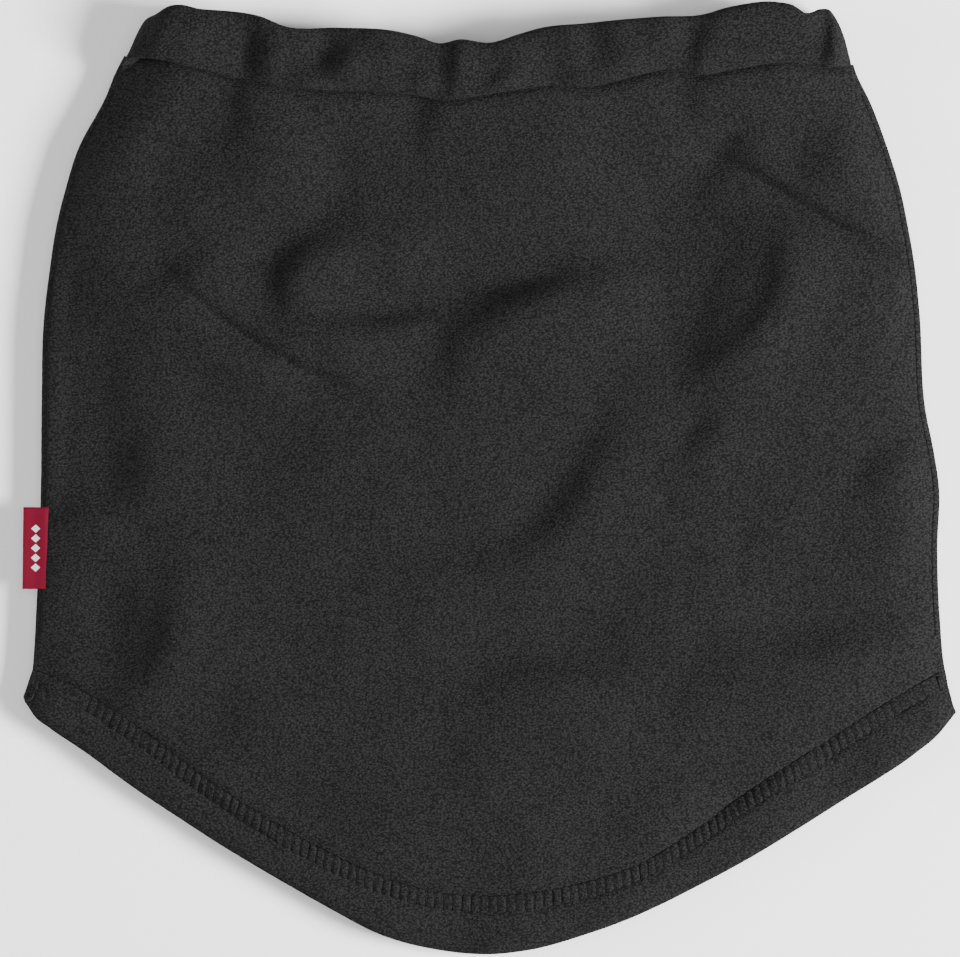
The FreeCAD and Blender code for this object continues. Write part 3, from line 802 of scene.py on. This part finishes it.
def side_stitch(name, side, node, thread):
    """The flat ladder of threads that joins the two panels along a side."""
    run = np.arange(SEAM_START, SEAM_END, 0.45)
    beat = -0.12 + 0.08 * np.cos(run * 2 * math.pi / STITCH_PITCH)
    paths = [side_point(side, run, np.full_like(run, a), beat) for a in (-SEAM_ANGLE, SEAM_ANGLE)]
    t = np.linspace(-1, 1, 11)
    for h in np.arange(SEAM_START + 1, SEAM_END, STITCH_PITCH):
        paths.append(side_point(side, h + 0.6 * t, SEAM_ANGLE * t, -0.05 + 0 * t))
    return finish(add_object(name, *tubes(paths, SIDE_THREAD_RADIUS)), thread, "thread", node)


# ---- labels -----------------------------------------------------------------------------------


def smooth_curve(points, step):
    """Evenly spaced points on a smooth curve through a few (x, z) places."""
    points = np.array(points, float)
    run = np.concatenate([[0], np.cumsum(np.hypot(*np.diff(points, axis=0).T))])
    dense = np.linspace(0, run[-1], 600)
    course = np.column_stack([smooth(np.column_stack([run, points[:, i]]))(dense) for i in (0, 1)])
    return resample(course, int(run[-1] / step))


def make_flag_label(material):
    """The folded ribbon caught in the left side seam."""
    low, high = box_mm("flag_label")
    fold_x = low[0] + 0.3
    top, gap = SEAM_LEVEL + 2.3, 0.22
    upper = ((-129.0, top - 1.4), (-130.6, top - 0.3), (-131.8, top), (-133.4, top - 0.4))
    upper += ((-135.2, top - 1.0), (fold_x + 1.6, SEAM_LEVEL + 0.95), (fold_x + 0.35, SEAM_LEVEL + 0.72))
    lower = tuple((x, z - 2 * gap) for x, z in upper[::-1])
    tip = ((fold_x, SEAM_LEVEL + 0.72 - gap),)
    profile, length = smooth_curve(upper + tip + lower, 0.18)
    rows = 36
    along = np.linspace(0, 1, rows)[:, None]
    lean = 0.25 * (0.5 - along) * ramp(-profile[:, 0], 131, 138)[None]
    x = profile[None, :, 0] - lean
    z = profile[None, :, 1] + 0.12 * np.sin(5 * along) * ramp(-profile[:, 0], 132, 138)[None]
    y = low[1] + along * (high[1] - low[1]) + 0 * x
    distance = np.abs(np.linspace(0, length, len(profile)) - length / 2)
    uv = np.stack(np.broadcast_arrays(distance[None], along * (high[1] - low[1])), -1)
    grid = np.stack([x, y, z], -1)
    label = thick_sheet("flag_label_ribbon", grid, 0.26, uv=uv)
    label.data.materials.append(material)
    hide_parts("flag_label", "flag_label_tail")
    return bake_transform(label)


def make_care_label(material):
    """The blank care label inside, caught in the left seam and lying on the back."""
    low, high = box_mm("care_label")
    rest = back_level(np.array(-100.0), np.array(160.0)) + HALF + 0.3
    course = ((low[0], SEAM_LEVEL), (low[0] + 5, SEAM_LEVEL - 0.6), (low[0] + 12, rest + 1.6))
    course += ((low[0] + 22, rest + 0.5), (high[0], rest + 0.9))
    profile, length = smooth_curve(course, 0.6)
    along = np.linspace(0, 1, 30)[:, None]
    x = profile[None, :, 0] + 0 * along
    z = profile[None, :, 1] + 0.25 * np.sin(4 * along + 0.1 * x)
    y = low[1] + along * (high[1] - low[1]) + 0 * x
    distance = np.linspace(0, length, len(profile))
    uv = np.stack(np.broadcast_arrays(distance[None], along * (high[1] - low[1])), -1)
    label = thick_sheet("care_label_ribbon", np.stack([x, y, z], -1), 0.16, uv=uv)
    return finish(label, material, "satin", "care_label")


# ---- materials --------------------------------------------------------------------------------


class Shader:
    """Adds nodes to one material."""

    def __init__(self, name):
        self.material = bpy.data.materials.new(name)
        self.material.use_nodes = True
        self.tree = self.material.node_tree
        self.surface = self.tree.nodes["Principled BSDF"]
        self.place = self.node("ShaderNodeTexCoord").outputs["Object"]

    def node(self, kind, **values):
        made = self.tree.nodes.new(kind)
        for key, value in values.items():
            setattr(made, key, value)
        return made

    def link(self, source, target):
        self.tree.links.new(source, target)

    def stretch(self, scale):
        """Scale the place that the textures are read at."""
        made = self.node("ShaderNodeMapping")
        made.inputs["Scale"].default_value = scale
        self.link(self.place, made.inputs["Vector"])
        self.place = made.outputs["Vector"]

    def noise(self, scale, detail=2.0, roughness=0.5):
        made = self.node("ShaderNodeTexNoise")
        made.inputs["Scale"].default_value = scale
        made.inputs["Detail"].default_value = detail
        made.inputs["Roughness"].default_value = roughness
        self.link(self.place, made.inputs["Vector"])
        return made.outputs["Fac"]

    def cells(self, scale, smoothness):
        made = self.node("ShaderNodeTexVoronoi", feature="SMOOTH_F1")
        made.inputs["Scale"].default_value = scale
        made.inputs["Smoothness"].default_value = smoothness
        self.link(self.place, made.inputs["Vector"])
        return made.outputs["Distance"]

    def math(self, operation, first, second=0.0):
        made = self.node("ShaderNodeMath", operation=operation)
        for socket, value in zip(made.inputs, (first, second)):
            if isinstance(value, (int, float)):
                socket.default_value = value
            else:
                self.link(value, socket)
        return made.outputs[0]

    def colour(self, factor, *stops):
        """The base colour, from a factor and (place, colour) stops. One number is a grey."""
        made = self.node("ShaderNodeValToRGB")
        self.link(factor, made.inputs["Fac"])
        stripe = made.color_ramp
        while len(stripe.elements) < len(stops):
            stripe.elements.new(0.5)
        for element, (place, shade) in zip(stripe.elements, stops):
            element.position = place
            element.color = (*shade, 1) if isinstance(shade, tuple) else (shade, shade, shade, 1)
        return made.outputs["Color"]

    def bump(self, height, distance, strength):
        made = self.node("ShaderNodeBump")
        made.inputs["Distance"].default_value = distance * MM
        made.inputs["Strength"].default_value = strength
        self.link(height, made.inputs["Height"])
        self.link(made.outputs["Normal"], self.surface.inputs["Normal"])

    def set(self, **values):
        for key, value in values.items():
            self.surface.inputs[key.replace("_", " ")].default_value = value


def fleece_material():
    """Dark charcoal micro-fleece: tight curled nubs that lie across, an uneven nap and a faint sheen."""
    m = Shader("charcoal_fleece")
    m.stretch((0.82, 1.24, 1.0))
    nubs = m.cells(1500, 0.4)
    curls = m.noise(1900, 2.5, 0.6)
    nap = m.noise(170, 2.0)
    height = m.math("SUBTRACT", m.math("MULTIPLY", curls, 1.2), m.math("MULTIPLY", nubs, 0.8))
    shade = m.math("ADD", height, m.math("MULTIPLY", nap, 0.05))
    colour = m.colour(shade, (0.0, 0.0073), (0.25, 0.0125), (0.50, 0.0200))
    m.link(colour, m.surface.inputs["Base Color"])
    m.bump(height, 0.33, 0.9)
    m.set(Roughness=0.95, Specular_IOR_Level=0.0, Sheen_Weight=0.015, Sheen_Roughness=0.4)
    return m.material


def thread_material(name, shade):
    """Spun thread with a fine twist."""
    m = Shader(name)
    ply = m.noise(2600, 1.0)
    m.link(m.colour(ply, (0.3, shade * 0.6), (0.7, shade)), m.surface.inputs["Base Color"])
    m.bump(ply, 0.12, 0.7)
    m.set(Roughness=0.9, Specular_IOR_Level=0.0)
    return m.material


def weave_of(m, pitch):
    """A plain weave over the piece's own map, which is in millimetres."""
    split = m.node("ShaderNodeSeparateXYZ")
    m.link(m.node("ShaderNodeUVMap", uv_map="cloth").outputs["UV"], split.inputs["Vector"])
    across, along = split.outputs["X"], split.outputs["Y"]
    threads = [m.math("SINE", m.math("MULTIPLY", way, 2 * math.pi / pitch)) for way in (across, along)]
    return m.math("MULTIPLY", *threads), across, along


# the flag label's width, the length of the row of lozenges on it and how far it is from the fold, and
# the lozenges: their pitch, half the width of one, and half its share of the pitch
LABEL_WIDTH = 24.4
LOZENGE_ROW, ROW_FROM_FOLD = 14.5, 4.0
LOZENGE_PITCH, LOZENGE_HALF, LOZENGE_SHARE = 2.9, 1.45, 0.42


def label_material():
    """Red woven ribbon with one plain row of lozenges."""
    m = Shader("red_woven_label")
    weave, across, along = weave_of(m, 0.36)
    off = m.math("ABSOLUTE", m.math("SUBTRACT", across, ROW_FROM_FOLD))
    from_centre = m.math("SUBTRACT", along, LABEL_WIDTH / 2)
    repeat = m.math("FRACT", m.math("ADD", m.math("DIVIDE", from_centre, LOZENGE_PITCH), 0.5))
    cell = m.math("ABSOLUTE", m.math("SUBTRACT", repeat, 0.5))
    lozenge = m.math("ADD", m.math("DIVIDE", off, LOZENGE_HALF), m.math("DIVIDE", cell, LOZENGE_SHARE))
    in_row = m.math("LESS_THAN", m.math("ABSOLUTE", from_centre), LOZENGE_ROW / 2)
    motif = m.math("MULTIPLY", m.math("LESS_THAN", lozenge, 1.0), in_row)
    shade = m.math("ADD", m.math("MULTIPLY", weave, 0.5), 0.5)
    red = m.colour(shade, (0, (0.084, 0.0008, 0.009)), (1, (0.157, 0.0016, 0.019)))
    mix = m.node("ShaderNodeMix", data_type="RGBA")
    factor, ground, pattern = mix.inputs[0], mix.inputs[6], mix.inputs[7]
    m.link(motif, factor)
    m.link(red, ground)
    pattern.default_value = (0.6, 0.58, 0.57, 1)
    m.link(mix.outputs[2], m.surface.inputs["Base Color"])
    m.bump(m.math("ADD", weave, m.math("MULTIPLY", motif, 0.8)), 0.06, 0.8)
    m.set(Roughness=0.6, Specular_IOR_Level=0.08)
    return m.material


def ribbon_material(name, low, high, pitch, roughness):
    """A plain woven ribbon between two greys."""
    m = Shader(name)
    weave, _, _ = weave_of(m, pitch)
    shade = m.math("ADD", m.math("MULTIPLY", weave, 0.5), 0.5)
    m.link(m.colour(shade, (0, low), (1, high)), m.surface.inputs["Base Color"])
    m.bump(weave, 0.05, 0.6)
    m.set(Roughness=roughness, Specular_IOR_Level=0.4)
    return m.material


# ---- pieces -----------------------------------------------------------------------------------


def finish(made, material, slot, *nodes):
    """Give a piece its material, hide the CAD nodes it stands for and attach it to its body. Its slot is
    not used.
    """
    made.data.materials.append(material)
    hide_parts(*nodes)
    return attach(made, "root")


def make_layer(name, level, edge, outward, density, hem_step, cloth, thread):
    """The panel, hem and hem stitching of the front or the back. density is its columns and rows."""
    body = panel(f"{name}_cloth", level, *density, outward)
    finish(body, cloth, "fleece", f"{name}_panel")
    grid = hem_grid(level, edge, hem_step, outward, 1.0 if outward > 0 else 0.0)
    finish(thick_sheet(f"{name}_hem_cloth", grid), cloth, "fleece", f"{name}_hem")
    stitch = cover_stitch(f"{name}_hem_threads", level, edge, outward)
    finish(stitch, thread, "thread", f"{name}_hem_stitching")


# ---- camera, floor and light ------------------------------------------------------------------

PICTURE_WIDTH = 285.7
PICTURE_MIDDLE = (-2.4, -0.4)
LIGHTS = (
    ("key", (1.4, -0.25, 0.95), 0.6, 125),
    ("fill", (-1.45, 0.0, 0.45), 0.9, 33),
    ("overhead", (0.0, 0.1, 2.0), 1.2, 14),
)
WORLD_STRENGTH = 0.13


def make_camera():
    """A long lens straight above, so that the object's plan fills the picture."""
    view = bpy.data.cameras.new("camera")
    view.lens = 330
    view.clip_end = 50
    camera = bpy.data.objects.new("camera", view)
    bpy.context.collection.objects.link(camera)
    distance = view.lens / view.sensor_width * PICTURE_WIDTH * MM
    camera.location = (PICTURE_MIDDLE[0] * MM, PICTURE_MIDDLE[1] * MM, distance + FRONT_FACE * MM)
    bpy.context.scene.camera = camera


def make_floor():
    bpy.ops.mesh.primitive_plane_add(size=6)
    floor = bpy.context.object
    floor.name = "floor"
    paper = Shader("pale_paper")
    grain = paper.noise(900, 2.0)
    paper.link(paper.colour(grain, (0.2, 0.93), (0.8, 0.96)), paper.surface.inputs["Base Color"])
    paper.set(Roughness=0.9)
    floor.data.materials.append(paper.material)


def make_lights():
    """Soft lamps that face the origin, and a dim white surround."""
    for name, place, size, power in LIGHTS:
        lamp = bpy.data.lights.new(name, "AREA")
        lamp.size = size
        lamp.energy = power
        holder = bpy.data.objects.new(name, lamp)
        holder.location = place
        holder.rotation_euler = (-Vector(place)).to_track_quat("-Z", "Y").to_euler()
        holder.visible_camera = False
        bpy.context.collection.objects.link(holder)
    world = bpy.data.worlds.new("studio")
    world.use_nodes = True
    world.node_tree.nodes["Background"].inputs["Color"].default_value = (1, 1, 1, 1)
    world.node_tree.nodes["Background"].inputs["Strength"].default_value = WORLD_STRENGTH
    bpy.context.scene.world = world


FLEECE = fleece_material()
THREAD = thread_material("charcoal_thread", 0.010)
make_camera()
make_floor()
make_lights()
make_layer("front", front_level, HEM_EDGE, 1, (240, 206), 0.52, FLEECE, THREAD)
make_layer("back", back_level, BACK_EDGE, -1, (160, 130), 1.0, FLEECE, THREAD)
make_casing(FLEECE)
make_elastic(ribbon_material("black_elastic", 0.008, 0.03, 0.9, 0.6))
casing_stitch("front_casing_threads", front_level, 1, "front_casing_stitching", THREAD)
casing_stitch("back_casing_threads", back_level, -1, "back_casing_stitching", THREAD)
side_stitch("left_seam_threads", -1, "left_side_seam_stitching", THREAD)
side_stitch("right_seam_threads", 1, "right_side_seam_stitching", THREAD)
make_flag_label(label_material())
make_care_label(ribbon_material("white_satin", 0.62, 0.78, 0.3, 0.4))
